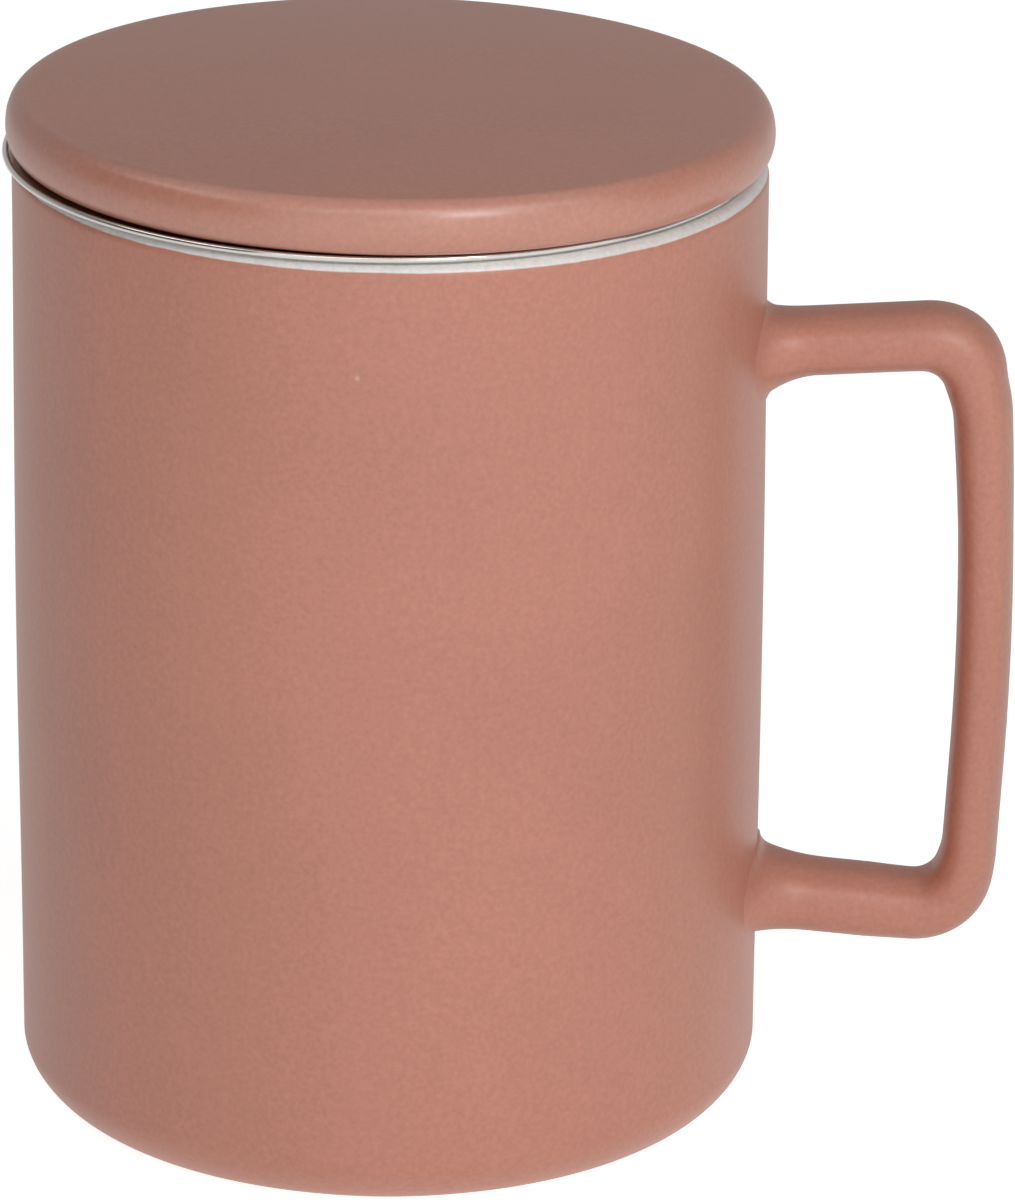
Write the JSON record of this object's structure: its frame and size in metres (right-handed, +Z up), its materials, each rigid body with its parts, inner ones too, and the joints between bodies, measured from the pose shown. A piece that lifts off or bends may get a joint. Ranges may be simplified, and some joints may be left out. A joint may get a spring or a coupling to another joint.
{
  "type": "lidded tea mug with infuser",
  "caption": "Straight-sided stoneware tea mug with a D-shaped handle, a loose slotted steel infuser basket resting on its lip, and a loose low-domed lid.",
  "frame": {"origin": "mug's axis in the plane of its foot ring", "axes": "+Z up along the mug's axis, +X towards the handle, +Y across the handle"},
  "size_m": [0.1162, 0.0876, 0.1229],
  "materials": {
    "terracotta_glaze": "satin",
    "stainless": "brushed"
  },
  "bodies": {
    "mug": {"mug_body": "terracotta_glaze", "handle": "terracotta_glaze"},
    "infuser": {"infuser_collar": "stainless", "infuser_sleeve": "stainless", "infuser_base": "stainless"},
    "lid": {"lid": "terracotta_glaze"}
  },
  "joints": [
    {"name": "infuser_lift", "type": "slide", "parent": "mug", "child": "infuser", "axis": [0, 0, 1], "range_m": [0, 0.095]},
    {"name": "lid_lift", "type": "slide", "parent": "infuser", "child": "lid", "axis": [0, 0, 1], "range_m": [0, 0.04]}
  ]
}
